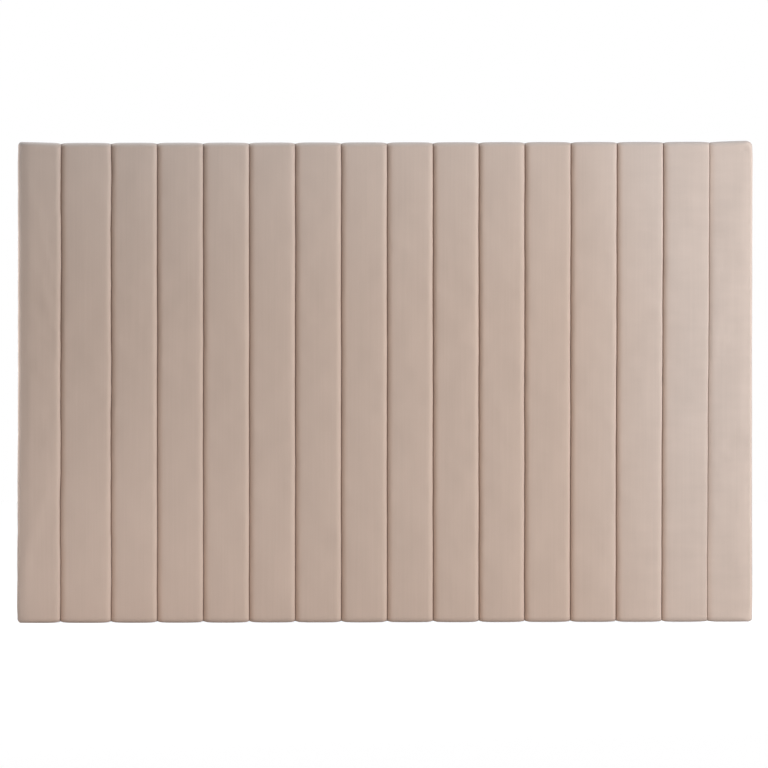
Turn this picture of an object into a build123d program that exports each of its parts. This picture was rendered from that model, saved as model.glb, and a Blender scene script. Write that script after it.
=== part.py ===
from build123d import *
import os
from math import asin, cos, pi, sin

# A bed headboard: sixteen upright channels padded with foam and wadding under velvet,
# on a plywood face board and a lapped softwood frame, closed behind by a black dust cover.
# X runs along the panel, the padding faces -Y, and Z is up. The origin is the centre of
# the four bed bolts, on the back of the frame.

# The panel and its channels
panel_height = 1046.0
channel_count = 16
channel_pitch = 100.3
first_channel_width = 94.0
second_channel_width = 109.4
last_channel_width = 92.7
pad_depth = 35.0

# The padding's form
crown_radius = 500.0
shoulder_radius = 26.0
shoulder_width = 14.0
side_roll_radius = 11.0
end_roll_radius = 20.0
pad_overhang = 3.5
wadding_thickness = 5.0

# The velvet cover
velvet_thickness = 1.5
seam_allowance = 14.0
velvet_return = 40.0

# The pull-in tapes in the seams
tape_thickness = 0.6
tape_edge_inset = 3.0
tape_foot_width = 8.0
tape_foot_clearance = 0.3

# The face board and the frame behind it
board_thickness = 9.0
frame_depth = 34.0
stile_width = 60.0
rail_width = 60.0
mounting_upright_width = 95.0
centre_upright_width = 60.0
corner_block_leg = 80.0

# The dust cover
dust_cover_thickness = 0.5
dust_cover_inset = 12.0
access_hole_radius = 11.0

# The bed bolts and their tee nuts
bolt_spacing_x = 1100.0
bolt_spacing_z = 150.0
bolt_height = 225.0
bolt_hole_radius = 4.5
thread_radius = 3.4
tee_nut_flange_radius = 11.0
tee_nut_flange_thickness = 1.5
tee_nut_barrel_radius = 5.0
tee_nut_length = 12.0
prong_count = 4
prong_length = 6.0
prong_width = 3.0
prong_thickness = 1.0
prong_inset = 1.5

# The wood screws
screw_head_radius = 4.0
screw_head_height = 3.0
screw_shank_radius = 2.0
board_screw_length = 30.0
lap_screw_length = 24.0
lap_screw_offset = 15.0
bay_screws = 2
upright_screws = 3

# The staples
staple_crown = 10.0
staple_gauge = 0.5
staple_wire_width = 1.2
cover_staple_leg = 10.0
dust_staple_leg = 9.0
tape_staple_leg = 7.0
cover_staple_inset = 32.0
dust_staple_inset = 19.0
tape_staple_count = 7
side_staple_count = 12
side_staple_margin = 90.0
staples_per_channel = 2

# How far a cut runs past the face that it goes through, and a quarter turn in degrees
overrun = 2.0
quarter_turn = 90.0

# Channel places
left_widths = [first_channel_width, second_channel_width]
right_widths = [last_channel_width]
plain_channels = channel_count - len(left_widths) - len(right_widths)
channel_widths = left_widths + [channel_pitch] * plain_channels + right_widths
panel_width = sum(channel_widths)
channel_edges = [-panel_width / 2]
for channel_width in channel_widths:
    channel_edges.append(channel_edges[-1] + channel_width)
seams = channel_edges[1:-1]
last_channel = channel_count - 1

# Planes from back to front
dust_cover_back = velvet_thickness + dust_cover_thickness
frame_front = -frame_depth
lap_plane = -frame_depth / 2
board_front = frame_front - board_thickness
pad_front = board_front - pad_depth
roll_axis_y = pad_front + end_roll_radius

# Levels from bottom to top
pad_bottom = -bolt_height
pad_top = pad_bottom + panel_height
roll_bottom = pad_bottom + end_roll_radius
roll_top = pad_top - end_roll_radius
band_bottom = pad_bottom + pad_overhang
band_top = pad_top - pad_overhang
wood_bottom = band_bottom + velvet_thickness
wood_top = band_top - velvet_thickness
wood_side = panel_width / 2 - velvet_thickness

# Skins of the padding: how far each lies inside the velvet's face, and inside a seam
velvet_face = (0, tape_thickness / 2)
velvet_back = (velvet_thickness, tape_thickness / 2 + velvet_thickness)
foam_face = (velvet_thickness + wadding_thickness, tape_thickness / 2 + velvet_thickness)


def box_between(low, high):
    """A box from its lowest corner to its highest."""
    sides = [top - base for base, top in zip(low, high)]
    return Pos(*low) * Box(*sides, align=(Align.MIN, Align.MIN, Align.MIN))


def pierced(piece, fasteners):
    """The piece with a hole for each fastener that reaches it."""
    room = piece.bounding_box()
    reached = []
    for fastener in fasteners:
        box = fastener.bounding_box()
        apart = [
            box.min.X > room.max.X or box.max.X < room.min.X,
            box.min.Y > room.max.Y or box.max.Y < room.min.Y,
            box.min.Z > room.max.Z or box.max.Z < room.min.Z,
        ]
        if not any(apart):
            reached.append(fastener)
    return piece - reached if reached else piece


def write(name, shapes):
    """Writes one node: a single piece, or a group of separate ones."""
    shape = Compound(shapes) if isinstance(shapes, list) else shapes
    export_step(shape, f"parts/{name}.step")


# The padding's form

def on_arc(centre, radius, angle):
    """The point of an arc that lies at an angle from straight forward, towards +X."""
    return (centre[0] + radius * sin(angle), centre[1] - radius * cos(angle))


def edge_points(half_width, is_side, skin):
    """Right-hand points of a channel's section: the crown's end, a point of the rounding, its end."""
    inset, seam_inset = skin
    crown_centre = (0, pad_front + crown_radius)
    if is_side:
        radius = side_roll_radius
        start = asin((half_width - radius) / (crown_radius - radius))
    else:
        radius = shoulder_radius
        start = asin((half_width - shoulder_width) / crown_radius)
    centre = on_arc(crown_centre, crown_radius - radius, start)
    end = pi / 2
    if not is_side:
        end = asin((half_width - seam_inset - centre[0]) / (radius - inset))
    angles = (start, (start + end) / 2, end)
    return [on_arc(centre, radius - inset, angle) for angle in angles]


def mirrored(points):
    """The same points on the left-hand side."""
    return [(-x, y) for x, y in points]


def section_edges(left, right, inset, place):
    """The crowned line from the left wall to the right one, with each point put in place."""
    left_crown, left_middle, left_wall = [place(point) for point in left]
    right_crown, right_middle, right_wall = [place(point) for point in right]
    apex = place((0, pad_front + inset))
    return [
        ThreePointArc(left_wall, left_middle, left_crown),
        ThreePointArc(left_crown, apex, right_crown),
        ThreePointArc(right_crown, right_middle, right_wall),
    ]


def padded_form(width, left_is_side, right_is_side, skin):
    """One channel's solid inside a skin: crowned in front, rolled over at top and bottom."""
    inset = skin[0]
    right = edge_points(width / 2, right_is_side, skin)
    left = mirrored(edge_points(width / 2, left_is_side, skin))
    left_x, right_x = left[-1][0], right[-1][0]

    def flat(point):
        return (point[0], point[1], 0)

    def risen(point):
        return (point[0], roll_axis_y, roll_top + roll_axis_y - point[1])

    def sunk(point):
        return (point[0], roll_axis_y, roll_bottom - roll_axis_y + point[1])

    start, finish = (left_x, roll_axis_y, 0), (right_x, roll_axis_y, 0)
    front = section_edges(left, right, inset, flat)
    front += [Line(flat(right[-1]), finish), Line(finish, start), Line(start, flat(left[-1]))]
    face = make_face(front)
    body = extrude(Pos(0, 0, roll_bottom) * face, roll_top - roll_bottom, dir=(0, 0, 1))
    top_axis = Axis((0, roll_axis_y, roll_top), (-1, 0, 0))
    top = revolve(Pos(0, 0, roll_top) * face, top_axis, quarter_turn)
    bottom_axis = Axis((0, roll_axis_y, roll_bottom), (1, 0, 0))
    bottom = revolve(Pos(0, 0, roll_bottom) * face, bottom_axis, quarter_turn)

    scalloped = section_edges(left, right, inset, risen)
    scalloped += [Line(risen(right[-1]), sunk(right[-1]))]
    scalloped += section_edges(left, right, inset, sunk)
    scalloped += [Line(sunk(left[-1]), risen(left[-1]))]
    across = [left_x, left[0][0], right[0][0], right_x]
    corners = [(x, board_front, band_top - inset) for x in across]
    corners += [(x, board_front, band_bottom + inset) for x in reversed(across)]
    square = Polyline(*corners, close=True)
    rear = loft([make_face(scalloped), make_face(square)], ruled=True)
    return body + top + bottom + rear


# Staples and screws, each made with its outer face up

def made_staple(leg):
    """A staple: a crown along X and two legs down."""
    outer = Pos(0, 0, -leg / 2) * Box(staple_crown, staple_wire_width, leg)
    inner_width = staple_crown - 2 * staple_gauge
    inner = Pos(0, 0, -leg / 2 - staple_gauge) * Box(inner_width, staple_wire_width, leg)
    return outer - inner


def made_screw(length):
    """A countersunk screw, its head up."""
    shank = Pos(0, 0, -length / 2) * Cylinder(screw_shank_radius, length)
    head = Cone(screw_shank_radius, screw_head_radius, screw_head_height)
    return shank + Pos(0, 0, -screw_head_height / 2) * head


def behind(x, y, z, along=(1, 0, 0)):
    """The place of a fastener driven in from the back."""
    return Plane((x, y, z), x_dir=along, z_dir=(0, 1, 0)).location


def before(x, y, z, along=(1, 0, 0)):
    """The place of a fastener driven in from the front."""
    return Plane((x, y, z), x_dir=along, z_dir=(0, -1, 0)).location


cover_staple = made_staple(cover_staple_leg)
dust_staple = made_staple(dust_staple_leg)
tape_staple = made_staple(tape_staple_leg)


def spread(low, high, count):
    """Places in the middle of equal steps from low to high."""
    step = (high - low) / count
    return [low + step * (place + 1 / 2) for place in range(count)]


def end_staples(staple, face, inset, width):
    """A channel's staples along the top and bottom of the back, about the channel's middle."""
    levels = [band_bottom + inset, band_top - inset]
    places = spread(-width / 2, width / 2, staples_per_channel)
    return [behind(x, face, z) * staple for z in levels for x in places]


def side_staples(staple, face, inset, side):
    """The staples up one side of the back, on the left where side is -1."""
    x = side * (panel_width / 2 - inset)
    levels = spread(band_bottom + side_staple_margin, band_top - side_staple_margin, side_staple_count)
    return [behind(x, face, z, along=(0, 0, 1)) * staple for z in levels]


# The velvet cover, the wadding and the foam, channel by channel

def band(width, left_is_side, right_is_side):
    """One panel's velvet round the edges of the board and frame, and its return on the back."""
    low_x, high_x = -width / 2, width / 2
    wrap = box_between((low_x, board_front, band_bottom), (high_x, velvet_thickness, band_top))
    low_in = low_x + (velvet_thickness if left_is_side else -overrun)
    high_in = high_x - (velvet_thickness if right_is_side else -overrun)
    wood = box_between((low_in, board_front - overrun, wood_bottom), (high_in, 0, wood_top))
    low_window = low_x + (velvet_return if left_is_side else -overrun)
    high_window = high_x - (velvet_return if right_is_side else -overrun)
    window = box_between(
        (low_window, -overrun, band_bottom + velvet_return),
        (high_window, velvet_thickness + overrun, band_top - velvet_return),
    )
    return wrap - wood - window


def allowance_cuts(width, left_is_side, right_is_side):
    """What is cut from a panel's seam sides, so that they end at the sewn allowance."""
    seam_front = edge_points(width / 2, False, velvet_face)[-1][1]
    low_y, high_y = seam_front + seam_allowance, board_front + overrun
    wall = width / 2 - tape_thickness / 2
    cuts = []
    for side, is_side in ((-1, left_is_side), (1, right_is_side)):
        if not is_side:
            middle = side * (wall - velvet_thickness / 2)
            low_x, high_x = middle - velvet_thickness, middle + velvet_thickness
            cuts.append(box_between((low_x, low_y, roll_bottom), (high_x, high_y, roll_top)))
    return cuts


def foot_rebate(width):
    """The room at a foam strip's left rear edge for the seam tape's foot and its staples."""
    low_x = -width / 2
    high_x = low_x + tape_thickness / 2 + tape_foot_width + tape_foot_clearance
    depth = tape_thickness + staple_gauge + tape_foot_clearance
    low_z, high_z = pad_bottom - overrun, pad_top + overrun
    low_y, high_y = board_front - depth, board_front + overrun
    return box_between((low_x - overrun, low_y, low_z), (high_x, high_y, high_z))


def channel_pieces(width, left_is_side, right_is_side):
    """One channel's cover panel, wadding and foam strip, about the channel's middle."""
    sides = (width, left_is_side, right_is_side)
    face = padded_form(*sides, velvet_face)
    lining = padded_form(*sides, velvet_back)
    core = padded_form(*sides, foam_face)
    panel = face - lining - allowance_cuts(*sides) + band(*sides)
    panel = panel - end_staples(cover_staple, velvet_thickness, cover_staple_inset, width)
    panel = panel - end_staples(dust_staple, dust_cover_back, dust_staple_inset, width)
    foam = core if left_is_side else core - foot_rebate(width)
    return panel, lining - core, foam


# The staples of the whole back
cover_staples = []
dust_cover_staples = []
channel_middles = []
for number, width in enumerate(channel_widths):
    middle = channel_edges[number] + width / 2
    channel_middles.append(middle)
    for staple in end_staples(cover_staple, velvet_thickness, cover_staple_inset, width):
        cover_staples.append(Pos(middle, 0, 0) * staple)
    for staple in end_staples(dust_staple, dust_cover_back, dust_staple_inset, width):
        dust_cover_staples.append(Pos(middle, 0, 0) * staple)
for side in (-1, 1):
    cover_staples += side_staples(cover_staple, velvet_thickness, cover_staple_inset, side)
    dust_cover_staples += side_staples(dust_staple, dust_cover_back, dust_staple_inset, side)

cover_panels = []
wadding_strips = []
foam_strips = []
made = {}
for number, width in enumerate(channel_widths):
    kind = (width, number == 0, number == last_channel)
    if kind not in made:
        made[kind] = channel_pieces(*kind)
    panel, wadding, foam = [Pos(channel_middles[number], 0, 0) * piece for piece in made[kind]]
    if number in (0, last_channel):
        side = -1 if number == 0 else 1
        panel = panel - side_staples(cover_staple, velvet_thickness, cover_staple_inset, side)
        panel = panel - side_staples(dust_staple, dust_cover_back, dust_staple_inset, side)
    cover_panels.append(panel)
    wadding_strips.append(wadding)
    foam_strips.append(foam)


# The seam tapes: each is sewn into a seam and stapled to the board by its foot

def made_tape():
    """One tape about its seam: a thin fin as deep as the padding, with a foot on the board."""
    seam_front = edge_points(channel_pitch / 2, False, velvet_face)[-1][1]
    front = seam_front + tape_edge_inset
    radius = roll_axis_y - front
    slope_share = cos(pi / 4)
    top, bottom = band_top - tape_edge_inset, band_bottom + tape_edge_inset

    def arc(level, turn):
        start = (-tape_thickness / 2, roll_axis_y, level + turn * radius)
        middle_y = roll_axis_y - radius * slope_share
        middle = (-tape_thickness / 2, middle_y, level + turn * radius * slope_share)
        return ThreePointArc(start, middle, (-tape_thickness / 2, front, level))

    upper, lower = arc(roll_top, 1), arc(roll_bottom, -1)
    rear_top = (-tape_thickness / 2, board_front, top)
    rear_bottom = (-tape_thickness / 2, board_front, bottom)
    outline = [
        upper,
        Line(upper @ 1, lower @ 1),
        lower,
        Line(lower @ 0, rear_bottom),
        Line(rear_bottom, rear_top),
        Line(rear_top, upper @ 0),
    ]
    fin = extrude(make_face(outline), tape_thickness, dir=(1, 0, 0))
    foot_end = tape_thickness / 2 + tape_foot_width
    foot = box_between(
        (0, board_front - tape_thickness, roll_bottom),
        (foot_end, board_front, roll_top),
    )
    return fin + foot


tape_staple_x = tape_thickness / 2 + tape_foot_width / 2
tape_crown_face = board_front - tape_thickness - staple_gauge
local_tape_staples = []
for level in spread(roll_bottom, roll_top, tape_staple_count):
    place = before(tape_staple_x, tape_crown_face, level, along=(0, 0, 1))
    local_tape_staples.append(place * tape_staple)
tape = made_tape() - local_tape_staples
seam_tapes = [Pos(seam, 0, 0) * tape for seam in seams]
tape_staples = [Pos(seam, 0, 0) * staple for seam in seams for staple in local_tape_staples]

# The frame: the uprights lap behind the rails, and the stiles are the outermost uprights
stile_middle = wood_side - stile_width / 2
uprights = {
    "left_stile": (-stile_middle, stile_width),
    "left_mounting_upright": (-bolt_spacing_x / 2, mounting_upright_width),
    "centre_upright": (0, centre_upright_width),
    "right_mounting_upright": (bolt_spacing_x / 2, mounting_upright_width),
    "right_stile": (stile_middle, stile_width),
}
rail_middles = {
    "bottom_rail": wood_bottom + rail_width / 2,
    "top_rail": wood_top - rail_width / 2,
}
bolt_places = []
for side in (-1, 1):
    for level in (-bolt_spacing_z / 2, bolt_spacing_z / 2):
        bolt_places.append((side * bolt_spacing_x / 2, level))

board_screw = made_screw(board_screw_length)
lap_screw = made_screw(lap_screw_length)
board_screws = []
lap_screws = []
upright_places = [place for place, upright_width in uprights.values()]
for rail_z in rail_middles.values():
    for low, high in zip(upright_places, upright_places[1:]):
        for x in spread(low, high, bay_screws):
            board_screws.append(before(x, board_front, rail_z) * board_screw)
    for x in upright_places:
        for turn in (-1, 1):
            place = before(x + turn * lap_screw_offset, frame_front, rail_z + turn * lap_screw_offset)
            lap_screws.append(place * lap_screw)
for x in upright_places:
    for z in spread(rail_middles["bottom_rail"], rail_middles["top_rail"], upright_screws):
        board_screws.append(before(x, board_front, z) * board_screw)

# The tee nuts, knocked into the front of the mounting uprights
tee_nut_flange = Pos(0, 0, -tee_nut_flange_thickness / 2)
tee_nut_flange *= Cylinder(tee_nut_flange_radius, tee_nut_flange_thickness)
tee_nut_barrel = Pos(0, 0, -tee_nut_length / 2) * Cylinder(tee_nut_barrel_radius, tee_nut_length)
prong_middle = tee_nut_flange_radius - prong_inset
prong_drop = tee_nut_flange_thickness + prong_length
prong = Pos(prong_middle, 0, -prong_drop / 2) * Box(prong_thickness, prong_width, prong_drop)
full_tee_nut = tee_nut_flange + tee_nut_barrel + PolarLocations(0, prong_count) * prong
tee_nut = full_tee_nut - Cylinder(thread_radius, 2 * tee_nut_length + overrun)
tee_nuts = [before(x, frame_front, z) * tee_nut for x, z in bolt_places]
tee_nut_sockets = [before(x, frame_front, z) * full_tee_nut for x, z in bolt_places]

nut_end = frame_front + tee_nut_length
bolt_hole_length = overrun - nut_end
bolt_holes = []
for x, z in bolt_places:
    hole = Cylinder(bolt_hole_radius, bolt_hole_length, align=(Align.CENTER, Align.CENTER, Align.MAX))
    bolt_holes.append(behind(x, overrun, z) * hole)

fasteners = cover_staples + dust_cover_staples + board_screws + lap_screws
frame_cuts = fasteners + tee_nut_sockets + bolt_holes
frame_pieces = {}
for name, (x, upright_width) in uprights.items():
    low_x, high_x = x - upright_width / 2, x + upright_width / 2
    upright = box_between((low_x, frame_front, wood_bottom), (high_x, 0, wood_top))
    for level in rail_middles.values():
        low = (low_x - overrun, frame_front - overrun, level - rail_width / 2)
        high = (high_x + overrun, lap_plane, level + rail_width / 2)
        upright = upright - box_between(low, high)
    frame_pieces[name] = pierced(upright, frame_cuts)
for name, level in rail_middles.items():
    low_z, high_z = level - rail_width / 2, level + rail_width / 2
    rail = box_between((-wood_side, frame_front, low_z), (wood_side, 0, high_z))
    for x, upright_width in uprights.values():
        low = (x - upright_width / 2, lap_plane, low_z - overrun)
        high = (x + upright_width / 2, overrun, high_z + overrun)
        rail = rail - box_between(low, high)
    frame_pieces[name] = pierced(rail, frame_cuts)

# The corner blocks, glued into the frame's inner corners
corner_blocks = []
for side in (-1, 1):
    x = side * (wood_side - stile_width)
    inner_x = x - side * corner_block_leg
    for name, turn in (("bottom_rail", 1), ("top_rail", -1)):
        z = rail_middles[name] + turn * rail_width / 2
        corners = [(x, 0, z), (inner_x, 0, z), (x, 0, z + turn * corner_block_leg)]
        block = extrude(make_face(Polyline(*corners, close=True)), frame_depth, dir=(0, -1, 0))
        corner_blocks.append(block)

# The face board
board = box_between((-wood_side, board_front, wood_bottom), (wood_side, frame_front, wood_top))
board = board - tape_staples - board_screws

# The dust cover
cover_side = panel_width / 2 - dust_cover_inset
dust_cover = box_between(
    (-cover_side, velvet_thickness, band_bottom + dust_cover_inset),
    (cover_side, dust_cover_back, band_top - dust_cover_inset),
)
access_hole = Cylinder(access_hole_radius, 2 * dust_cover_back + overrun)
dust_cover = dust_cover - [behind(x, 0, z) * access_hole for x, z in bolt_places]
dust_cover = dust_cover - dust_cover_staples

# Writing the nodes
os.makedirs("parts", exist_ok=True)
for number in range(channel_count):
    label = f"{number + 1:02d}"
    write(f"cover_panel_{label}", cover_panels[number])
    write(f"foam_strip_{label}", foam_strips[number])
for name, piece in frame_pieces.items():
    write(name, piece)
write("wadding_strips", wadding_strips)
write("seam_tapes", seam_tapes)
write("tape_staples", tape_staples)
write("face_board", board)
write("corner_blocks", corner_blocks)
write("board_screws", board_screws)
write("lap_screws", lap_screws)
write("bolt_tee_nuts", tee_nuts)
write("cover_staples", cover_staples)
write("dust_cover", dust_cover)
write("dust_cover_staples", dust_cover_staples)
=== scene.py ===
import math
import random

import bmesh
import bpy
import numpy as np
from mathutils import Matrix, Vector, kdtree, noise


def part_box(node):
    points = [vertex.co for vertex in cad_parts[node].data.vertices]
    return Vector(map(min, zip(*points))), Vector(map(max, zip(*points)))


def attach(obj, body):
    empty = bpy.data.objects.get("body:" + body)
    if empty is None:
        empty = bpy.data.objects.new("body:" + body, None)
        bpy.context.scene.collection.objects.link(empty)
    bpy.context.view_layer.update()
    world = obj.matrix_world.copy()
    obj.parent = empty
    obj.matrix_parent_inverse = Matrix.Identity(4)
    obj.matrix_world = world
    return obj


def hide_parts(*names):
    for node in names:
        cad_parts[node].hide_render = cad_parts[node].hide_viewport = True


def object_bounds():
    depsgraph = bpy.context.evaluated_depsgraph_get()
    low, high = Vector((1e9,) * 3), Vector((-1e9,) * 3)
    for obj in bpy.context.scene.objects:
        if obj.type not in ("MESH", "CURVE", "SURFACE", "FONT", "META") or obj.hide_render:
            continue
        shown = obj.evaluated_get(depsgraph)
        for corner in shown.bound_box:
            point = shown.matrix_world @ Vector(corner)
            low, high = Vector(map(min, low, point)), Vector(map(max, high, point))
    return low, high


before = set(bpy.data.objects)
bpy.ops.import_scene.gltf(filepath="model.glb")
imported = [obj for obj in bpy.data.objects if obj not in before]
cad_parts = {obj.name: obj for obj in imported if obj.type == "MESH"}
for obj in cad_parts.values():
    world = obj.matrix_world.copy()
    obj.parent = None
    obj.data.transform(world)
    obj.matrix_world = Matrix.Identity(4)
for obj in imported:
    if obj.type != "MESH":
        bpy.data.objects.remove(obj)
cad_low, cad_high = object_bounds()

# The camera stands square in front of the panel, far off with a long lens, so that the
# channels show no perspective. Its aim comes from where the panel's edges lie in the photo.
photo_size = 768
panel_left_px, panel_right_px = 18.0, 752.3
panel_top_px, panel_bottom_px = 142.6, 621.9
camera_distance = 30.0
roll_radius = 0.012

panel_width = cad_high.x - cad_low.x
middle_z = (cad_low.z + cad_high.z) / 2
pixel = panel_width / (panel_right_px - panel_left_px)
right_of_middle = ((panel_left_px + panel_right_px) / 2 - photo_size / 2) * pixel
above_middle = (photo_size / 2 - (panel_top_px + panel_bottom_px) / 2) * pixel
lens = bpy.data.cameras.new("camera")
lens.sensor_fit = "HORIZONTAL"
lens.lens = lens.sensor_width * camera_distance / (photo_size * pixel)
camera = bpy.data.objects.new("camera", lens)
camera.location = (
    (cad_low.x + cad_high.x) / 2 - right_of_middle,
    cad_low.y + roll_radius - camera_distance,
    middle_z - above_middle,
)
camera.rotation_euler = (math.pi / 2, 0, 0)
bpy.context.scene.collection.objects.link(camera)
bpy.context.scene.camera = camera
bpy.context.scene.view_settings.view_transform = "Standard"


# The studio: a large soft lamp far round to the right, a cool one close above, a warm one low on
# the left, a faint strip along the lower edge, and two behind the panel that only reach its left
# and top rims. The room and the floor show as plain white.
def soft_lamp(name, place, size, power, colour, aim, spread=180):
    """A large soft lamp that faces a point."""
    data = bpy.data.lights.new(name, "AREA")
    data.shape = "RECTANGLE"
    data.size, data.size_y = size
    data.energy = power
    data.color = colour
    data.spread = math.radians(spread)
    lamp = bpy.data.objects.new(name, data)
    lamp.location = place
    lamp.rotation_euler = (Vector(aim) - Vector(place)).to_track_quat("-Z", "Y").to_euler()
    lamp.visible_camera = False
    bpy.context.scene.collection.objects.link(lamp)


front_y = cad_low.y
soft_lamp("key_lamp", (4.55, -3.4, 1.6), (1.5, 1.5), 292, (0.99, 0.99, 1.0), (0, front_y, middle_z))
soft_lamp("top_lamp", (0.1, -0.24, 1.45), (2.2, 0.3), 2.4, (0.38, 0.72, 1.0), (0.1, front_y, 0.75))
soft_lamp(
    "low_lamp", (-0.85, -0.50, -0.2), (1.0, 0.3), 0.85, (1.0, 0.97, 1.0), (-0.85, front_y, -0.1)
)
soft_lamp(
    "low_strip", (0.35, -0.40, -0.2), (1.7, 0.1), 0.12, (0.90, 0.97, 1.0), (0.35, front_y, -0.15)
)
soft_lamp("side_lamp", (-1.9, 0.24, 0.3), (0.5, 0.8), 4.2, (0.90, 0.94, 1.0), (-0.8, 0, 0.45), 60)
soft_lamp("rim_lamp", (-0.9, 0.42, 1.9), (0.6, 0.6), 6.8, (0.66, 0.84, 1.0), (-0.3, 0, 0.8), 120)

room = bpy.data.worlds.new("white_room")
bpy.context.scene.world = room
room.use_nodes = True
nodes, links = room.node_tree.nodes, room.node_tree.links
nodes.clear()
path = nodes.new("ShaderNodeLightPath")
seen = nodes.new("ShaderNodeMath")
seen.operation = "MAXIMUM"
links.new(path.outputs["Is Camera Ray"], seen.inputs[0])
links.new(path.outputs["Is Glossy Ray"], seen.inputs[1])
clear = nodes.new("ShaderNodeMath")
clear.operation = "MAXIMUM"
links.new(seen.outputs[0], clear.inputs[0])
links.new(path.outputs["Is Transmission Ray"], clear.inputs[1])
soft, white = nodes.new("ShaderNodeBackground"), nodes.new("ShaderNodeBackground")
soft.inputs["Color"].default_value = (0.985, 0.98, 0.99, 1)
soft.inputs["Strength"].default_value = 0.243
white.inputs["Color"].default_value = (1, 1, 1, 1)
white.inputs["Strength"].default_value = 1.0
either, out = nodes.new("ShaderNodeMixShader"), nodes.new("ShaderNodeOutputWorld")
links.new(clear.outputs[0], either.inputs[0])
links.new(soft.outputs[0], either.inputs[1])
links.new(white.outputs[0], either.inputs[2])
links.new(either.outputs[0], out.inputs["Surface"])

floor_half = 30.0
floor_gap = 0.002
floor_data = bpy.data.meshes.new("floor")
floor_z = cad_low.z - floor_gap
turns = ((-1, -1), (1, -1), (1, 1), (-1, 1))
corners = [(side * floor_half, end * floor_half, floor_z) for side, end in turns]
floor_data.from_pydata(corners, [], [(0, 1, 2, 3)])
floor = bpy.data.objects.new("floor", floor_data)
bpy.context.scene.collection.objects.link(floor)
paint = bpy.data.materials.new("white_floor")
paint.use_nodes = True
nodes, links = paint.node_tree.nodes, paint.node_tree.links
shader = nodes["Principled BSDF"]
shader.inputs["Base Color"].default_value = (0.86, 0.86, 0.86, 1)
shader.inputs["Roughness"].default_value = 0.9
shader.inputs["Emission Color"].default_value = (1, 1, 1, 1)
path, glow = nodes.new("ShaderNodeLightPath"), nodes.new("ShaderNodeMath")
glow.operation = "MULTIPLY"
glow.inputs[1].default_value = 0.72
links.new(path.outputs["Is Camera Ray"], glow.inputs[0])
links.new(glow.outputs[0], shader.inputs["Emission Strength"])
floor_data.materials.append(paint)


# The softwood frame: planed pine, upright in the stiles and uprights and lying in the two rails,
# half lapped, glued and screwed where they cross, with a glued block in each corner.
def new_material(name, roughness):
    """A material with its shader, ready for its own nodes."""
    made = bpy.data.materials.new(name)
    made.use_nodes = True
    made.node_tree.nodes["Principled BSDF"].inputs["Roughness"].default_value = roughness
    return made


def wood_grain():
    """Wood grain for the frame and the board: long streaks, bent a little by noise."""
    group = bpy.data.node_groups.new("wood_grain", "ShaderNodeTree")
    group.interface.new_socket("Stretch", in_out="INPUT", socket_type="NodeSocketVector")
    group.interface.new_socket("Rings", in_out="OUTPUT", socket_type="NodeSocketFloat")
    group.interface.new_socket("Pores", in_out="OUTPUT", socket_type="NodeSocketFloat")
    given, out = group.nodes.new("NodeGroupInput"), group.nodes.new("NodeGroupOutput")
    where = group.nodes.new("ShaderNodeTexCoord")
    mapping = group.nodes.new("ShaderNodeMapping")
    group.links.new(where.outputs["Object"], mapping.inputs["Vector"])
    group.links.new(given.outputs["Stretch"], mapping.inputs["Scale"])
    for name, scale, detail, bend in (("Rings", 1.0, 2.0, 2.5), ("Pores", 9.0, 3.0, 0.3)):
        texture = group.nodes.new("ShaderNodeTexNoise")
        texture.inputs["Scale"].default_value = scale
        texture.inputs["Detail"].default_value = detail
        texture.inputs["Distortion"].default_value = bend
        group.links.new(mapping.outputs["Vector"], texture.inputs["Vector"])
        group.links.new(texture.outputs["Fac"], out.inputs[name])
    return group


def used(tree, group, **values):
    """A shader group placed in a material, with its inputs set."""
    node = tree.nodes.new("ShaderNodeGroup")
    node.node_tree = group
    for name, value in values.items():
        node.inputs[name].default_value = value
    return node


def between(tree, value, low, high, start=0.0, end=1.0):
    """A value brought from one range into another."""
    ranged = tree.nodes.new("ShaderNodeMapRange")
    ranged.inputs["From Min"].default_value = start
    ranged.inputs["From Max"].default_value = end
    ranged.inputs["To Min"].default_value = low
    ranged.inputs["To Max"].default_value = high
    tree.links.new(value, ranged.inputs["Value"])
    return ranged.outputs["Result"]


def shaded(tree, colour, brightness):
    """A colour made lighter or darker by a value about 1."""
    node = tree.nodes.new("ShaderNodeMix")
    node.data_type = "RGBA"
    node.blend_type = "MULTIPLY"
    node.inputs["Factor"].default_value = 1.0
    tree.links.new(colour, node.inputs[6])
    tree.links.new(brightness, node.inputs[7])
    return node.outputs[2]


def mixed(tree, one, other, share):
    """One colour, or a node's colour, turning into another."""
    node = tree.nodes.new("ShaderNodeMix")
    node.data_type = "RGBA"
    if isinstance(one, tuple):
        node.inputs[6].default_value = (*one, 1)
    else:
        tree.links.new(one, node.inputs[6])
    node.inputs[7].default_value = (*other, 1)
    tree.links.new(share, node.inputs["Factor"])
    return node.outputs[2]


def raised(tree, height, strength, distance):
    """A bump from a height, brought to the shader."""
    bump = tree.nodes.new("ShaderNodeBump")
    bump.inputs["Strength"].default_value = strength
    bump.inputs["Distance"].default_value = distance
    tree.links.new(height, bump.inputs["Height"])
    tree.links.new(bump.outputs["Normal"], tree.nodes["Principled BSDF"].inputs["Normal"])


grain = wood_grain()
grain_roughness = 0.08


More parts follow.
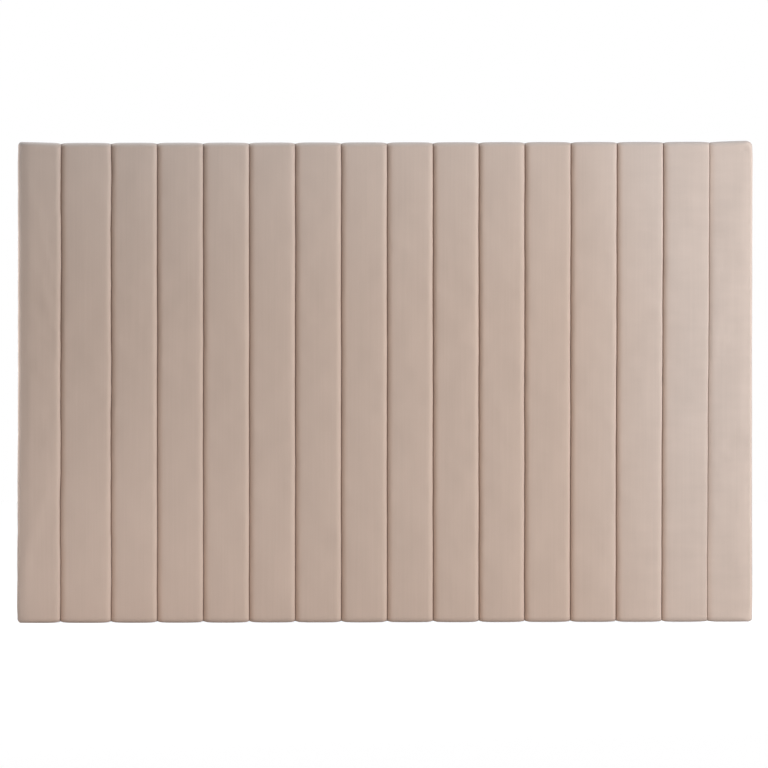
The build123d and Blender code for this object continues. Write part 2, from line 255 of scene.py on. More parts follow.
def wood(name, pale, dark, stretch, roughness):
    """A bare wood with its rings and pores."""
    made = new_material(name, roughness)
    tree = made.node_tree
    streaks = used(tree, grain, Stretch=stretch)
    rings = between(tree, streaks.outputs["Rings"], 0.0, 1.0, 0.35, 0.65)
    pores = between(tree, streaks.outputs["Pores"], 0.85, 1.08, 0.3, 0.7)
    shader = tree.nodes["Principled BSDF"]
    tree.links.new(shaded(tree, mixed(tree, pale, dark, rings), pores), shader.inputs["Base Color"])
    smoothest, roughest = roughness - grain_roughness, roughness + grain_roughness
    uneven = between(tree, streaks.outputs["Pores"], smoothest, roughest)
    tree.links.new(uneven, shader.inputs["Roughness"])
    raised(tree, streaks.outputs["Pores"], 0.3, 0.0003)
    return made


def finish(material, *names):
    """A material brought to CAD nodes that keep their shape."""
    for name in names:
        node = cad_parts[name]
        node.data.materials.clear()
        node.data.materials.append(material)


pine_pale, pine_dark = (0.70, 0.49, 0.27), (0.50, 0.29, 0.13)
upright_pine = wood("pine_upright", pine_pale, pine_dark, (70, 70, 3), 0.65)
lying_pine = wood("pine_lying", pine_pale, pine_dark, (3, 70, 70), 0.65)
finish(upright_pine, "left_stile", "right_stile", "left_mounting_upright", "right_mounting_upright")
finish(upright_pine, "centre_upright", "corner_blocks")
finish(lying_pine, "top_rail", "bottom_rail")


# The plywood face board: a rotary-cut birch face, its broad pale grain lying across the panel,
# glued and screwed to the frame behind.
birch = wood("birch_plywood", (0.72, 0.56, 0.38), (0.60, 0.43, 0.27), (6, 60, 45), 0.6)
finish(birch, "face_board")


# The screws and tee nuts: steel with a thin bright zinc plating, slightly blotched and rubbed by
# the driver. The screws hold the board and the laps, and the nuts take the bed's bolts.
def rubbed_metal():
    """Rub marks for plated and drawn metal: its blotches and its scratches."""
    group = bpy.data.node_groups.new("rubbed_metal", "ShaderNodeTree")
    group.interface.new_socket("Scale", in_out="INPUT", socket_type="NodeSocketFloat")
    group.interface.new_socket("Blotch", in_out="OUTPUT", socket_type="NodeSocketFloat")
    group.interface.new_socket("Scratch", in_out="OUTPUT", socket_type="NodeSocketFloat")
    given, out = group.nodes.new("NodeGroupInput"), group.nodes.new("NodeGroupOutput")
    where = group.nodes.new("ShaderNodeTexCoord")
    for name, stretch in (("Blotch", (0.1, 0.1, 0.1)), ("Scratch", (2.0, 0.15, 2.0))):
        mapping = group.nodes.new("ShaderNodeMapping")
        mapping.inputs["Scale"].default_value = stretch
        texture = group.nodes.new("ShaderNodeTexNoise")
        texture.inputs["Detail"].default_value = 4.0
        group.links.new(where.outputs["Object"], mapping.inputs["Vector"])
        group.links.new(mapping.outputs["Vector"], texture.inputs["Vector"])
        group.links.new(given.outputs["Scale"], texture.inputs["Scale"])
        group.links.new(texture.outputs["Fac"], out.inputs[name])
    return group


marks = rubbed_metal()


def metal(name, bright, dull, low, high):
    """A bare metal whose colour and roughness vary with its rub marks."""
    made = new_material(name, (low + high) / 2)
    tree = made.node_tree
    rubbed = used(tree, marks, Scale=900.0)
    blotch = between(tree, rubbed.outputs["Blotch"], 0.0, 1.0, 0.35, 0.65)
    shader = tree.nodes["Principled BSDF"]
    shader.inputs["Metallic"].default_value = 1.0
    tree.links.new(mixed(tree, bright, dull, blotch), shader.inputs["Base Color"])
    scratched = between(tree, rubbed.outputs["Scratch"], low, high, 0.3, 0.7)
    tree.links.new(scratched, shader.inputs["Roughness"])
    raised(tree, rubbed.outputs["Scratch"], 0.2, 0.00005)
    return made


zinc = metal("zinc_plating", (0.72, 0.74, 0.76), (0.60, 0.62, 0.66), 0.22, 0.42)
finish(zinc, "board_screws", "lap_screws", "bolt_tee_nuts")


# The seam tapes: cotton twill, sewn into each seam and stapled to the board. They draw the velvet
# in between two foam strips.
def combined(tree, one, other, operation="ADD"):
    """Two values added or multiplied."""
    node = tree.nodes.new("ShaderNodeMath")
    node.operation = operation
    tree.links.new(one, node.inputs[0])
    tree.links.new(other, node.inputs[1])
    return node.outputs[0]


def fibres():
    """Fine crossed fibres, for the tapes and the dust cloth: how high and how light they lie."""
    group = bpy.data.node_groups.new("fibres", "ShaderNodeTree")
    group.interface.new_socket("Scale", in_out="INPUT", socket_type="NodeSocketFloat")
    group.interface.new_socket("Height", in_out="OUTPUT", socket_type="NodeSocketFloat")
    group.interface.new_socket("Shade", in_out="OUTPUT", socket_type="NodeSocketFloat")
    given, out = group.nodes.new("NodeGroupInput"), group.nodes.new("NodeGroupOutput")
    heights = []
    for stretch in ((1, 1, 0.12), (0.12, 1, 1)):
        where = group.nodes.new("ShaderNodeTexCoord")
        mapping = group.nodes.new("ShaderNodeMapping")
        mapping.inputs["Scale"].default_value = stretch
        texture = group.nodes.new("ShaderNodeTexNoise")
        texture.inputs["Detail"].default_value = 2.0
        group.links.new(where.outputs["Object"], mapping.inputs["Vector"])
        group.links.new(mapping.outputs["Vector"], texture.inputs["Vector"])
        group.links.new(given.outputs["Scale"], texture.inputs["Scale"])
        heights.append(texture.outputs["Fac"])
    height = combined(group, *heights, "MAXIMUM")
    group.links.new(height, out.inputs["Height"])
    group.links.new(between(group, height, 0.7, 1.35, 0.35, 0.75), out.inputs["Shade"])
    return group


crossed_fibres = fibres()
twill = new_material("cotton_twill", 0.9)
tree = twill.node_tree
threads = used(tree, crossed_fibres, Scale=900.0)
waves = tree.nodes.new("ShaderNodeTexWave")
waves.bands_direction = "DIAGONAL"
waves.inputs["Scale"].default_value = 240.0
waves.inputs["Distortion"].default_value = 0.6
where = tree.nodes.new("ShaderNodeTexCoord")
tree.links.new(where.outputs["Object"], waves.inputs["Vector"])
colour = mixed(tree, (0.52, 0.48, 0.41), (0.66, 0.62, 0.54), waves.outputs["Fac"])
shader = tree.nodes["Principled BSDF"]
tree.links.new(shaded(tree, colour, threads.outputs["Shade"]), shader.inputs["Base Color"])
raised(tree, combined(tree, threads.outputs["Height"], waves.outputs["Fac"]), 0.5, 0.0003)
finish(twill, "seam_tapes")


# The velvet cover: sixteen upright panels sewn side by side, drawn in at each seam over foam
# and wadding, rolled over the edges and stapled behind. Each piece is one channel's skin,
# from its return behind the top, over the front, to its return behind the bottom.
channel_count = 16
panel_nodes = [f"cover_panel_{number + 1:02d}" for number in range(channel_count)]
channel_edges = [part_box(panel_nodes[0])[0].x] + [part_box(name)[1].x for name in panel_nodes]
velvet_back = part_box(panel_nodes[0])[1].y
half_width = panel_width / 2
half_height = (cad_high.z - cad_low.z) / 2
skin_depth = velvet_back - cad_low.y
pad_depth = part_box("face_board")[0].y - cad_low.y
return_width = 0.036
edge_reach = 0.045
fold_radius = 0.003
velvet_thickness = 0.0014
end_overhang = cad_high.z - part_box("top_rail")[1].z - velvet_thickness
corner_radius = 0.0085
upper_right_share = 1.7
crown_radius = 1.1
shoulder_radius = 0.0210
shoulder_width = 0.0125
seam_lip = 0.0009
seam_depth = 0.0006
seam_shares = [0.92] * 6 + [0.97] * 3 + [1.05, 1.08, 1.05, 1.02, 0.98, 0.90, 0.48]
left_shares = [1.0] * 9 + [0.95, 0.88, 0.80, 0.60, 0.52, 0.42, 0.26]
scallop = 0.0013
scallop_power = 4.5
left_radius, right_radius = 0.008, 0.005
dome_width = 0.0305
left_dome = 0.0046
right_dome = 0.0020
back_corner_radius = 0.003
roll_steps = 13


def smooth(value):
    """A soft step from 0 to 1."""
    value = np.clip(value, 0, 1)
    return value * value * (3 - 2 * value)


def over_the_edge(radius):
    """The skin's line from the front over an edge to the back: its length, reach and depth."""
    turn = np.linspace(0, math.pi / 2, roll_steps)
    back = edge_reach - fold_radius
    reach = np.concatenate([
        [0], edge_reach - radius * (1 - np.sin(turn)),
        [edge_reach], back + fold_radius * np.cos(turn), [edge_reach - return_width],
    ])
    depth = np.concatenate([
        [0], radius * (1 - np.cos(turn)),
        [skin_depth / 2], skin_depth - fold_radius * (1 - np.sin(turn)), [skin_depth],
    ])
    steps = np.hypot(np.diff(reach), np.diff(depth))
    return np.concatenate([[0], np.cumsum(steps)]), reach, depth


line_length, line_reach, line_depth = over_the_edge(roll_radius)
_, left_reach, left_depth = over_the_edge(left_radius)
_, right_reach, right_depth = over_the_edge(right_radius)
skin_length = line_length[-1]
roll_start = edge_reach - roll_radius
roll_end = roll_start + roll_radius * math.pi / 2
board_line = roll_end + pad_depth - roll_radius
fold_line = roll_end + skin_depth - roll_radius - fold_radius
fold_end = fold_line + fold_radius * math.pi / 2


def envelope(across, along):
    """The plain padded shape, without channels, at distances across and along the flat skin."""
    inner_x, inner_z = half_width - edge_reach, half_height - edge_reach
    past_x = np.maximum(np.abs(across) - inner_x, 0)
    past_z = np.maximum(np.abs(along) - inner_z, 0)
    past = np.maximum(past_x, past_z)
    share = np.minimum(past_x, past_z) / np.maximum(past, 1e-9)
    to_side = smooth(0.5 + 0.5 * (past_x - past_z) / np.maximum(past, 1e-9))
    at_left, at_right = to_side * (across < 0), to_side * (across >= 0)
    reach = np.interp(past, line_length, line_reach) * (1 - to_side)
    reach = reach + np.interp(past, line_length, left_reach) * at_left
    reach = reach + np.interp(past, line_length, right_reach) * at_right
    depth = np.interp(past, line_length, line_depth) * (1 - to_side)
    depth = depth + np.interp(past, line_length, left_depth) * at_left
    depth = depth + np.interp(past, line_length, right_depth) * at_right
    upright = np.where(past_z >= past_x, 1.0, share)
    sunk = smooth((depth - roll_radius) / (pad_depth - roll_radius))
    lowered = end_overhang * upright * sunk
    upper_right = (across > 0) & (along > 0)
    rounding = np.where(upper_right, upper_right_share, 1.0) * corner_radius
    rounding = np.interp(past, [roll_end, board_line], [1, 0]) * (rounding - back_corner_radius)
    rounding = np.maximum((rounding + back_corner_radius) * smooth(past / roll_end), 1e-6)
    rounding = np.minimum(rounding, np.maximum(reach, 1e-6))
    bend = np.clip((reach * share - reach + rounding) / rounding, 0, 1) * math.pi / 4
    major = np.where(bend > 0, reach - rounding + rounding * np.cos(bend), reach)
    minor = np.where(bend > 0, reach - rounding + rounding * np.sin(bend), reach * share)
    wide = past_x >= past_z
    x = np.sign(across) * (np.minimum(np.abs(across), inner_x) + np.where(wide, major, minor))
    up = np.minimum(np.abs(along), inner_z) + np.where(wide, minor, major) - lowered
    z = np.sign(along) * up
    x = np.where(past_x > 0, x, across)
    z = np.where(past_z > 0, z, along)
    return np.stack([x, cad_low.y + depth, middle_z + z], axis=-1)


def shoulder_drop(distance):
    """How far the skin falls at a distance from a seam, on top of the channel's crown."""
    into = np.clip(shoulder_width - distance, 0, shoulder_width)
    lip = np.clip(seam_lip - distance, 0, seam_lip)
    fall = shoulder_radius - np.sqrt(shoulder_radius ** 2 - into ** 2)
    return fall + seam_lip - np.sqrt(seam_lip ** 2 - lip ** 2)


# Towards its foot the cover creeps a few millimetres to the left, most near its two ends.
right_creep = 0.0060
right_creep_from = 0.20
right_creep_at_top = 0.03
last_channel_loss = 0.55
last_seam = channel_edges[channel_count - 1]
left_creep = 0.0034
left_creep_from = 0.56
left_creep_at_top = 0.15
creep_power = 1.3
drift = 0.0019
drift_place = 0.33


def sideways(x, z):
    """How far the cover has crept sideways at a height, more towards its two ends."""
    down = (half_height - (z - middle_z)) / (2 * half_height)
    right = np.clip((x - right_creep_from) / (half_width - right_creep_from), 0, 1)
    right = right ** creep_power * right_creep
    right = right * (1 - last_channel_loss * smooth((x - last_seam) / (half_width - last_seam)))
    left = np.clip((-x - left_creep_from) / (half_width - left_creep_from), 0, 1)
    left = left ** creep_power * left_creep
    drawn = drift * np.exp(-((x - drift_place) / drift_place) ** 2)
    right = -right * (smooth(down) + right_creep_at_top)
    return right - left * (smooth(down) - left_creep_at_top) - drawn


# Each seam wanders by a fraction of a millimetre, and the two at the left by a little more.
seam_wander = 0.00022
seam_waves = ((0.41, 1.0), (0.19, 0.7), (0.083, 0.5), (0.031, 0.25))
loose_seams, loose_share = (1, 2), 2.2
wander_fade = 0.06
first_seed = 100


def seam_place(number, along):
    """Where a seam runs across the skin, at places along it."""
    x = channel_edges[number]
    if number in (0, channel_count):
        return np.full_like(along, x)
    draw = random.Random(first_seed + number)
    shift = np.zeros_like(along)
    for wave, size in seam_waves:
        start = draw.uniform(0, 2 * math.pi)
        shift += size * np.sin(2 * math.pi * along / (wave * draw.uniform(0.8, 1.25)) + start)
    loose = loose_share if number in loose_seams else 1.0
    fade = 1 - smooth((np.abs(along) - half_height + wander_fade) / wander_fade)
    return x + seam_wander * loose * shift * fade


# The cover stands a little higher at its right end and at its two top corners, is folded in at
# the upper right one, and swells and sinks slightly between its seams.
uphill = 0.0013
corner_lift = 0.0022
corner_spread = 0.055
corner_parts = 8
pucker_inset = 0.021
pucker_place = (half_width - pucker_inset, half_height - pucker_inset)
pucker_width = 0.005
pucker_depth = 0.0013
lip_width = 0.0013
seam_groove = 0.0003
swell_height = 0.0006
swell_across, swell_along = 9, 3.1
swell_offset = 3.7
swell_slice = 1.3
swell_from_seam = 0.02
swell_fade = 0.03
behind_loss = 0.9
side_stop = 0.004
shoulder_at_bends = [1, 1, 0.36, 0.18, 0.1, 0.03]
crown_at_bends = [1, 1, 0.2, 0.1, 0, 0]
scallop_at_bends = [0, 0, 1, 0.3, 0, 0]


def skin(number, along, place):
    """One channel's skin at places along and across it, and how near a seam each point is."""
    width = channel_edges[number + 1] - channel_edges[number]
    left, right = seam_place(number, along)[:, None], seam_place(number + 1, along)[:, None]
    along = along[:, None] + 0 * place[None, :]
    from_left = place[None, :] + 0 * along
    from_right = width - from_left
    stretched = from_left / width * (right - left)
    across = left + np.where(from_left < shoulder_width, from_left, stretched)
    across = np.where(from_right < shoulder_width, right - from_right, across)
    points = envelope(across, along)
    inward = np.cross(np.gradient(points, axis=0), np.gradient(points, axis=1))
    inward /= np.maximum(np.linalg.norm(inward, axis=-1, keepdims=True), 1e-12)

    past = np.maximum(np.abs(along) - half_height + edge_reach, 0)
    bends = [0, roll_start, roll_end, board_line, fold_line, skin_length]
    shoulders = np.interp(past, bends, shoulder_at_bends)
    crowned = np.interp(past, bends, crown_at_bends)
    arched = np.interp(past, bends, scallop_at_bends)
    past_side = 0 * from_left
    if number == 0:
        past_side = np.maximum(edge_reach - from_left, 0)
    if number == channel_count - 1:
        past_side = np.maximum(edge_reach - from_right, 0)
    off_middle = np.clip(from_left, 0, width) - width / 2
    crown = off_middle ** 2 / (2 * crown_radius)
    sides = 1 - smooth(past_side / roll_end)
    arch = scallop * np.abs(off_middle / width * 2) ** scallop_power * arched * sides
    drop = crown * sides * crowned + arch
    nearest = np.full_like(along, 1.0)
    if number > 0:
        drop = drop + shoulder_drop(from_left) * shoulders * seam_shares[number]
        nearest = np.minimum(nearest, from_left)
    if number < channel_count - 1:
        flat = left_shares[number + 1]
        steeper = (seam_shares[number + 1] - flat) * shoulder_drop(0.0)
        lip = steeper * np.exp(-(from_right / lip_width) ** 2)
        drop = drop + (shoulder_drop(from_right) * flat + lip) * shoulders
        nearest = np.minimum(nearest, from_right)
    drop = drop + np.interp(nearest, [0, seam_groove], [seam_depth, 0]) * shoulders
    swell = np.empty_like(along)
    for index in np.ndindex(along.shape):
        x, _, z = points[index]
        across_noise = x * swell_across + number * swell_offset
        swell[index] = noise.noise(Vector((across_noise, swell_slice, z * swell_along)))
    past_any = np.maximum(past, past_side)
    open_front = 1 - smooth((past_any - roll_start) / swell_fade)
    open_front = smooth(nearest / swell_from_seam) * open_front
    drop = drop - swell_height * swell * open_front
    off_pucker = np.hypot(across - pucker_place[0], along - pucker_place[1])
    drop = drop + pucker_depth * np.exp(-(off_pucker / pucker_width) ** 2)
    points = points + inward * drop[..., None]
    x, z = points[..., 0], points[..., 2] - middle_z
    dome = np.clip((np.abs(x) - half_width + dome_width) / (dome_width - right_radius), 0, 1) ** 2
    deep = smooth((points[..., 1] - cad_low.y - right_radius) / (pad_depth - right_radius))
    points[..., 1] += dome * np.where(x < 0, left_dome, right_dome) * (1 - deep)
    at_corner = np.exp(-((half_width - np.abs(x)) / corner_spread) ** 2)
    at_corner = at_corner * smooth(z / half_height * corner_parts - (corner_parts - 1))
    rolled = 1 - smooth((past_any - roll_end) / (board_line - roll_end))
    points[..., 2] += (uphill * x / half_width + corner_lift * at_corner) * rolled
    behind = smooth((past - roll_end) / (fold_line - roll_end))
    beside = smooth((past_side - roll_start) / (board_line - side_stop - roll_start))
    points[..., 0] += sideways(x, z + middle_z) * (1 - behind_loss * behind) * (1 - beside)
    return points, nearest


# The rows of points lie closest where the skin turns over an edge, and the columns at the seams.
inner_along = half_height - edge_reach
past_rows = np.concatenate([
    np.linspace(0, roll_start, 13)[1:],
    np.linspace(roll_start, roll_end, 11)[1:],
    np.linspace(roll_end, board_line, 5)[1:],
    np.linspace(board_line, fold_line, 7)[1:],
    np.linspace(fold_line, fold_end, 4)[1:],
    np.linspace(fold_end, skin_length, 7)[1:],
])
front_row_count = 150
front_rows = np.linspace(-inner_along, inner_along, front_row_count)
rows = np.concatenate([-inner_along - past_rows[::-1], front_rows, inner_along + past_rows])
seam_steps = np.array([
    0.0001, 0.0003, 0.0005, 0.0008, 0.0012, 0.0016, 0.0022, 0.0031,
    0.0044, 0.0061, 0.0082, 0.0108, 0.014,
])
middle_steps = 14


def columns(number):
    """The distances of a channel's columns from its left edge."""
    width = channel_edges[number + 1] - channel_edges[number]
    left_end, right_end = number == 0, number == channel_count - 1
    beyond = np.concatenate([[0], past_rows])
    first = edge_reach - beyond[::-1] if left_end else seam_steps
    last = width - edge_reach + beyond if right_end else (width - seam_steps)[::-1]
    inside = np.linspace(first[-1], last[0], middle_steps)[1:-1]
    return np.concatenate([first, inside, last])


def grid_faces(row_count, column_count, start=0):
    """The quads of a grid of points, row by row."""
    faces = []
    for row in range(row_count - 1):
        for column in range(column_count - 1):
            corner = start + row * column_count + column
            faces.append((corner, corner + 1, corner + column_count + 1, corner + column_count))
    return faces


def mesh_object(name, vertices, faces):
    """A new piece from its points and faces, shaded smooth."""
    data = bpy.data.meshes.new(name)
    data.from_pydata(vertices, [], faces)
    data.shade_smooth()
    piece = bpy.data.objects.new(name, data)
    bpy.context.scene.collection.objects.link(piece)
    return piece


# The puckers in the velvet come from a short cloth simulation. A coarse copy of every
# channel's skin is held along its seams and behind the board. It is cut slacker in some
# places than in others, and air blows it out. What it does on average over a channel's height
# is left out, because the skin already has that form.
cloth_step = 0.009
cloth_columns = 13
cloth_frames = 20
held_width = 0.004
slack = -0.008
slack_size = 0.05
slack_contrast = 0.9
slack_offset = 7.1
mean_margin = 0.05
puff_share = 0.4
puff_cap = 0.0008
smoothing_passes = 3
cloth_rows = np.linspace(rows[0], rows[-1], int((rows[-1] - rows[0]) / cloth_step))


def cloth_columns_of(number):
    """Where the coarse cloth has its columns."""
    place = columns(number)
    count = cloth_columns if 0 < number < channel_count - 1 else 2 * cloth_columns
    return np.linspace(place[0], place[-1], count)


def puffed():
    """How far the blown cloth moves each coarse point, by channel."""
    vertices, faces, held, starts, tight = [], [], [], [], []
    for number in range(channel_count):
        points, nearest = skin(number, cloth_rows, cloth_columns_of(number))
        starts.append((len(vertices), points.shape[:2]))
        faces += grid_faces(*points.shape[:2], start=len(vertices))
        past = np.abs(cloth_rows)[:, None] - half_height + edge_reach
        behind = points[..., 1] > cad_low.y + pad_depth
        held += ((nearest < held_width) | behind | (past > board_line)).ravel().tolist()
        for x, _, z in points.reshape(-1, 3).tolist():
            spot = Vector((x / slack_size / 2 + number * slack_offset, 0.5, z / slack_size))
            tight.append(min(1, max(0, 0.5 + slack_contrast * noise.noise(spot))))
        vertices += points.reshape(-1, 3).tolist()
    model = mesh_object("blown_cloth", vertices, faces)
    group = model.vertex_groups.new(name="held")
    group.add([index for index, fast in enumerate(held) if fast], 1.0, "REPLACE")
    group = model.vertex_groups.new(name="tight")
    for index, weight in enumerate(tight):
        group.add([index], weight, "REPLACE")
    cloth = model.modifiers.new("cloth", "CLOTH")
    cloth.settings.quality = 6
    cloth.settings.mass = 0.25
    cloth.settings.tension_stiffness = 40
    cloth.settings.compression_stiffness = 40
    cloth.settings.shear_stiffness = 8
    cloth.settings.bending_stiffness = 0.4
    cloth.settings.vertex_group_mass = "held"
    cloth.settings.vertex_group_shrink = "tight"
    cloth.settings.shrink_min = slack
    cloth.settings.shrink_max = 0.0
    cloth.settings.use_pressure = True
    cloth.settings.uniform_pressure_force = 1.5
    cloth.settings.effector_weights.gravity = 0
    cloth.collision_settings.use_collision = False
    for step in range(1, cloth_frames + 1):
        bpy.context.scene.frame_set(step)
    seen = model.evaluated_get(bpy.context.evaluated_depsgraph_get())
    blown = np.array([vertex.co[:] for vertex in seen.data.vertices])
    bpy.data.objects.remove(model)
    bpy.context.scene.frame_set(1)
    moved = blown - np.array(vertices)
    fields = []
    on_front = np.abs(cloth_rows) < inner_along - mean_margin
    fade = 1 - smooth((np.abs(cloth_rows) - inner_along) / roll_start)
    for start, (high, wide) in starts:
        field = moved[start:start + high * wide].reshape(high, wide, 3)
        field = (field - field[on_front].mean(axis=0)) * fade[:, None, None] * puff_share
        size = np.linalg.norm(field, axis=-1, keepdims=True)
        fields.append(field * np.minimum(1, puff_cap / np.maximum(size, 1e-9)))
    return fields


def at_points(field, field_rows, field_columns, along, place):
    """A coarse field brought to finer rows and columns."""
    down = np.empty((len(along), field.shape[1], 3))
    for column in range(field.shape[1]):
        for axis in range(3):
            down[:, column, axis] = np.interp(along, field_rows, field[:, column, axis])
    fine = np.empty((len(along), len(place), 3))
    for row in range(len(along)):
        for axis in range(3):
            fine[row, :, axis] = np.interp(place, field_columns, down[row, :, axis])
    for _ in range(smoothing_passes):
        fine[1:-1] = (fine[:-2] + 2 * fine[1:-1] + fine[2:]) / 4
    return fine


# The velvet's own colour; a paler, greyer colour where its pile is brushed, which is also painted
# sheen from the lamps at the right end and towards the top; painted shade down in each seam; and a
# browner painted shade beside each seam, on the shoulder turned away from the key lamp.
velvet_colour = (0.517, 0.393, 0.319)
brushed_and_sheen_colour = (0.537, 0.440, 0.382)
crease_shade_colour = (0.150, 0.070, 0.042)
shade_side_colour = (0.545, 0.352, 0.250)


def placed_noise(tree, scale, stretch=(1, 1, 1), detail=3.0):
    """A noise over the object, stretched along its axes."""
    where = tree.nodes.new("ShaderNodeTexCoord")
    mapping = tree.nodes.new("ShaderNodeMapping")
    mapping.inputs["Scale"].default_value = stretch
    texture = tree.nodes.new("ShaderNodeTexNoise")
    texture.inputs["Scale"].default_value = scale
    texture.inputs["Detail"].default_value = detail
    tree.links.new(where.outputs["Object"], mapping.inputs["Vector"])
    tree.links.new(mapping.outputs["Vector"], texture.inputs["Vector"])
    return texture.outputs["Fac"]


def velvet():
    """Short-pile velvet: faint upright nap lines, brushed paler at the right with painted sheen
    there and towards the top, painted shade in its seams and a browner painted shade beside them.
    """
    made = new_material("velvet", 0.85)
    tree = made.node_tree
    shader = tree.nodes["Principled BSDF"]
    lines = between(tree, placed_noise(tree, 1.0, (300, 300, 4)), 0.980, 1.020, 0.25, 0.75)
    patches = between(tree, placed_noise(tree, 1.0, (16, 16, 9), 2.0), -0.025, 0.025, 0.25, 0.75)
    strokes = between(tree, placed_noise(tree, 1.0, (11, 11, 42), 3.0), -0.027, 0.027, 0.25, 0.75)
    where = tree.nodes.new("ShaderNodeTexCoord")
    parts = tree.nodes.new("ShaderNodeSeparateXYZ")
    tree.links.new(where.outputs["Object"], parts.inputs[0])
    # Paler and greyer towards the right end and the top: brushed pile, and painted sheen where the
    # lamps fall.
    right = between(tree, parts.outputs["X"], 0.12, 1.0, 0.40, 0.66)
    lower = between(tree, parts.outputs["Z"], 0.65, 1.0, -0.2, 0.25)
    upper = between(tree, parts.outputs["Z"], 0.0, 0.35, 0.45, 0.80)
    strokes = combined(tree, strokes, right, "MULTIPLY")
    brushed_and_sheen_share = combined(tree, combined(tree, right, lower, "MULTIPLY"), upper)
    # Painted shade down in each seam, read from a point attribute.
    crease_shade = tree.nodes.new("ShaderNodeAttribute")
    crease_shade.attribute_name = "crease_shade"
    crease_shade_share = between(tree, crease_shade.outputs["Fac"], 0.0, 0.9)
    brightness = combined(tree, lines, combined(tree, patches, strokes))
    # A browner painted shade on the side of each seam turned away from the key lamp, read from a
    # point attribute.
    shade_side = tree.nodes.new("ShaderNodeAttribute")
    shade_side.attribute_name = "shade_side"
    away = between(tree, shade_side.outputs["Fac"], 0.0, 0.65)
    colour = mixed(tree, mixed(tree, velvet_colour, brushed_and_sheen_colour, brushed_and_sheen_share), shade_side_colour, away)
    colour = mixed(tree, colour, crease_shade_colour, crease_shade_share)
    tree.links.new(shaded(tree, colour, brightness), shader.inputs["Base Color"])
    raised(tree, placed_noise(tree, 900.0, (1, 1, 0.6), 2.0), 0.3, 0.0005)
    shader.inputs["Specular IOR Level"].default_value = 0.12
    shader.inputs["Sheen Weight"].default_value = 0.4
    shader.inputs["Sheen Roughness"].default_value = 0.45
    shader.inputs["Sheen Tint"].default_value = (0.98, 0.96, 0.99, 1)
    return made


# How wide the painted shade in each seam lies, and how much of it the slackest seams keep.
crease_shade_width = 0.0011
crease_shade_least = 0.2
# How far the browner painted shade reaches beside each seam.
shade_side_width = 0.009
velvet_cloth = velvet()
puff = puffed()
for number in range(channel_count):
    place = columns(number)
    points, nearest = skin(number, rows, place)
    if puff:
        points = points + at_points(puff[number], cloth_rows, cloth_columns_of(number), rows, place)
    vertices = points.reshape(-1, 3).tolist()
    piece = mesh_object(f"channel_{number + 1:02d}", vertices, grid_faces(*nearest.shape))
    # Painted shade down the seams at both sides of the piece, darker where a seam is drawn tighter.
    next_share = seam_shares[(number + 1) % channel_count]
    tightness = np.where(place < place.mean(), seam_shares[number], next_share)
    crease_shade = np.exp(-(nearest / crease_shade_width) ** 1.5)
    darkest = np.minimum(1, crease_shade_least + (1 - crease_shade_least) * tightness)
    crease_shade = crease_shade * darkest[None, :]
    mark = piece.data.attributes.new("crease_shade", "FLOAT", "POINT")
    mark.data.foreach_set("value", crease_shade.ravel().astype(np.float32))
    # A browner painted shade along the piece's left shoulder, the side of its seam turned away from
    # the key lamp.
    shade_side = np.exp(-(np.maximum(place, 0) / shade_side_width) ** 2) * (number > 0)
    shade_side = shade_side * seam_shares[number] + 0 * nearest
    mark = piece.data.attributes.new("shade_side", "FLOAT", "POINT")
    mark.data.foreach_set("value", shade_side.ravel().astype(np.float32))
    thick = piece.modifiers.new("thickness", "SOLIDIFY")
    thick.thickness = velvet_thickness
    thick.offset = -1.0
    piece.data.materials.append(velvet_cloth)
    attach(piece, "root")
    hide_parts(panel_nodes[number], f"foam_strip_{number + 1:02d}", "wadding_strips")


# The dust cloth that closes the back: thin black non-woven, its edge turned under all round and
# held by a row of staples, so that it lies pressed at each and a little slack between them.
# Four holes let the bed's bolts through.
cloth_low, cloth_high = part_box("dust_cover")
cloth_middle = (cloth_low + cloth_high) / 2
cloth_half = (cloth_high - cloth_low) / 2
hem_width = 0.015
cloth_thickness = 0.0003
hem_gap = 0.0004
hem_steps = 5
cloth_grid = 0.0065
hem_fade = 0.006
hole_radius = 0.011
hole_margin = 0.006
bolt_out, bolt_up = 0.55, 0.075
hole_places = [(side * bolt_out, level * bolt_up) for side in (-1, 1) for level in (-1, 1)]
cloth_face = 0.0017
press_radius = 0.006
press_depth = 0.00015
over_hem_rise = 0.0003
slack_rise = 0.0005
slack_waves = 14


def cloth_line(half):
    """Places along the cloth's cut width, and where each lies: its reach and its layer."""
    inner = np.linspace(-half, half, int(2 * half / cloth_grid))
    under = np.linspace(0, hem_width, hem_steps + 1)[1:]
    place = np.concatenate([-half + under[::-1], inner, half - under])
    below = np.concatenate([np.ones(hem_steps), np.zeros(len(inner)), np.ones(hem_steps)])
    return place, below


crowns = kdtree.KDTree(len(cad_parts["dust_cover_staples"].data.vertices))
for index, vertex in enumerate(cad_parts["dust_cover_staples"].data.vertices):
    crowns.insert((vertex.co.x, 0, vertex.co.z), index)
crowns.balance()
cloth_x, under_x = cloth_line(cloth_half.x)
cloth_z, under_z = cloth_line(cloth_half.z)
vertices = []
for level, under_level in zip(cloth_z, under_z):
    for across, under_across in zip(cloth_x, under_x):
        x, z = cloth_middle.x + across, cloth_middle.z + level
        press = 1 - smooth((crowns.find((x, 0, z))[2] - press_radius) / (2 * press_radius))
        from_edge = min(cloth_half.x - abs(across), cloth_half.z - abs(level))
        over_hem = 1 - smooth((from_edge - hem_width) / hem_fade)
        slackness = 0.5 + noise.noise(Vector((x * slack_waves, 0.7, z * slack_waves)))
        rise = over_hem_rise * over_hem + slack_rise * slackness
        y = cloth_face + rise * (1 - press) - press_depth * press
        vertices.append((x, y - hem_gap * max(under_level, under_across), z))
faces = grid_faces(len(cloth_z), len(cloth_x))
dust_cloth = mesh_object("dust_cloth", vertices, faces)
mesh = bmesh.new()
mesh.from_mesh(dust_cloth.data)
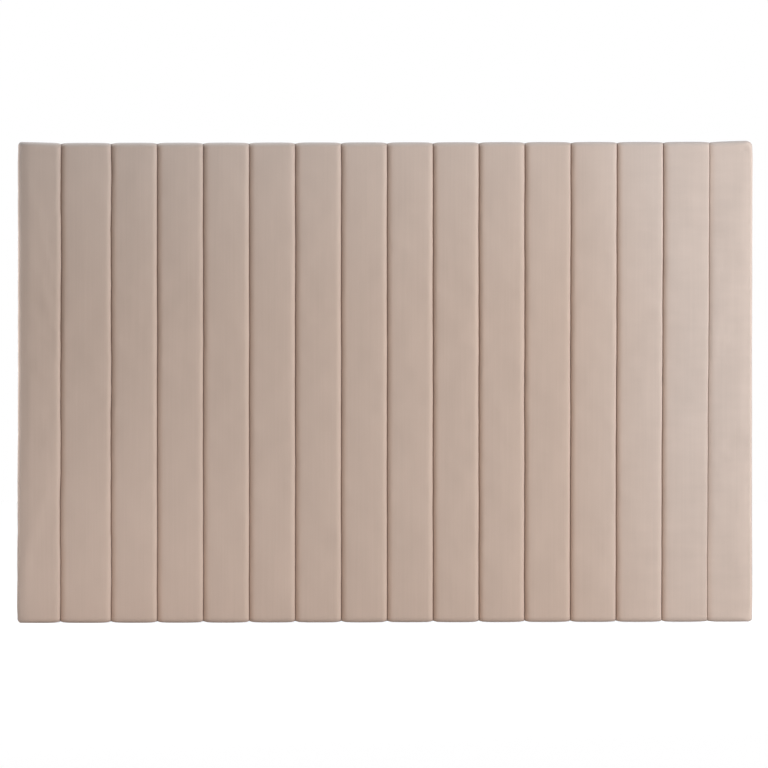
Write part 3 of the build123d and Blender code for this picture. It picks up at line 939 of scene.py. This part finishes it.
for hole_x, hole_z in hole_places:
    near = []
    for face in mesh.faces:
        middle = face.calc_center_median()
        if math.hypot(middle.x - hole_x, middle.z - hole_z) < hole_radius + hole_margin:
            near.append(face)
    border = []
    for face in near:
        for edge in face.edges:
            if sum(other in near for other in edge.link_faces) == 1:
                border.append(edge)
    bmesh.ops.delete(mesh, geom=near, context="FACES_KEEP_BOUNDARY")
    rim = bmesh.ops.extrude_edge_only(mesh, edges=border)["geom"]
    for vertex in rim:
        if isinstance(vertex, bmesh.types.BMVert):
            away = Vector((vertex.co.x - hole_x, vertex.co.z - hole_z)).normalized() * hole_radius
            vertex.co.x, vertex.co.z = hole_x + away.x, hole_z + away.y
bmesh.ops.recalc_face_normals(mesh, faces=mesh.faces)
mesh.to_mesh(dust_cloth.data)
mesh.free()
thick = dust_cloth.modifiers.new("thickness", "SOLIDIFY")
thick.thickness = cloth_thickness
thick.offset = 0.0


non_woven = new_material("black_non_woven", 0.8)
tree = non_woven.node_tree
threads = used(tree, crossed_fibres, Scale=700.0)
dots = tree.nodes.new("ShaderNodeTexVoronoi")
dots.inputs["Scale"].default_value = 750.0
dots.inputs["Randomness"].default_value = 0.15
where = tree.nodes.new("ShaderNodeTexCoord")
tree.links.new(where.outputs["Object"], dots.inputs["Vector"])
bonded = between(tree, dots.outputs["Distance"], 0.0, 1.0, 0.15, 0.4)
patches = between(tree, placed_noise(tree, 40.0), 0.0, 1.0, 0.3, 0.7)
colour = mixed(tree, (0.012, 0.012, 0.013), (0.030, 0.030, 0.032), patches)
shader = tree.nodes["Principled BSDF"]
tree.links.new(shaded(tree, colour, threads.outputs["Shade"]), shader.inputs["Base Color"])
raised(tree, combined(tree, threads.outputs["Height"], bonded), 0.4, 0.0002)
dust_cloth.data.materials.append(non_woven)
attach(dust_cloth, "root")
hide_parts("dust_cover")


# The staples: fine galvanised wire, shot in by a staple gun. They hold the tapes to the board, the
# velvet's return and the dust cloth to the frame.
wire = metal("staple_wire", (0.66, 0.67, 0.68), (0.48, 0.49, 0.51), 0.28, 0.50)
finish(wire, "tape_staples", "cover_staples", "dust_cover_staples")
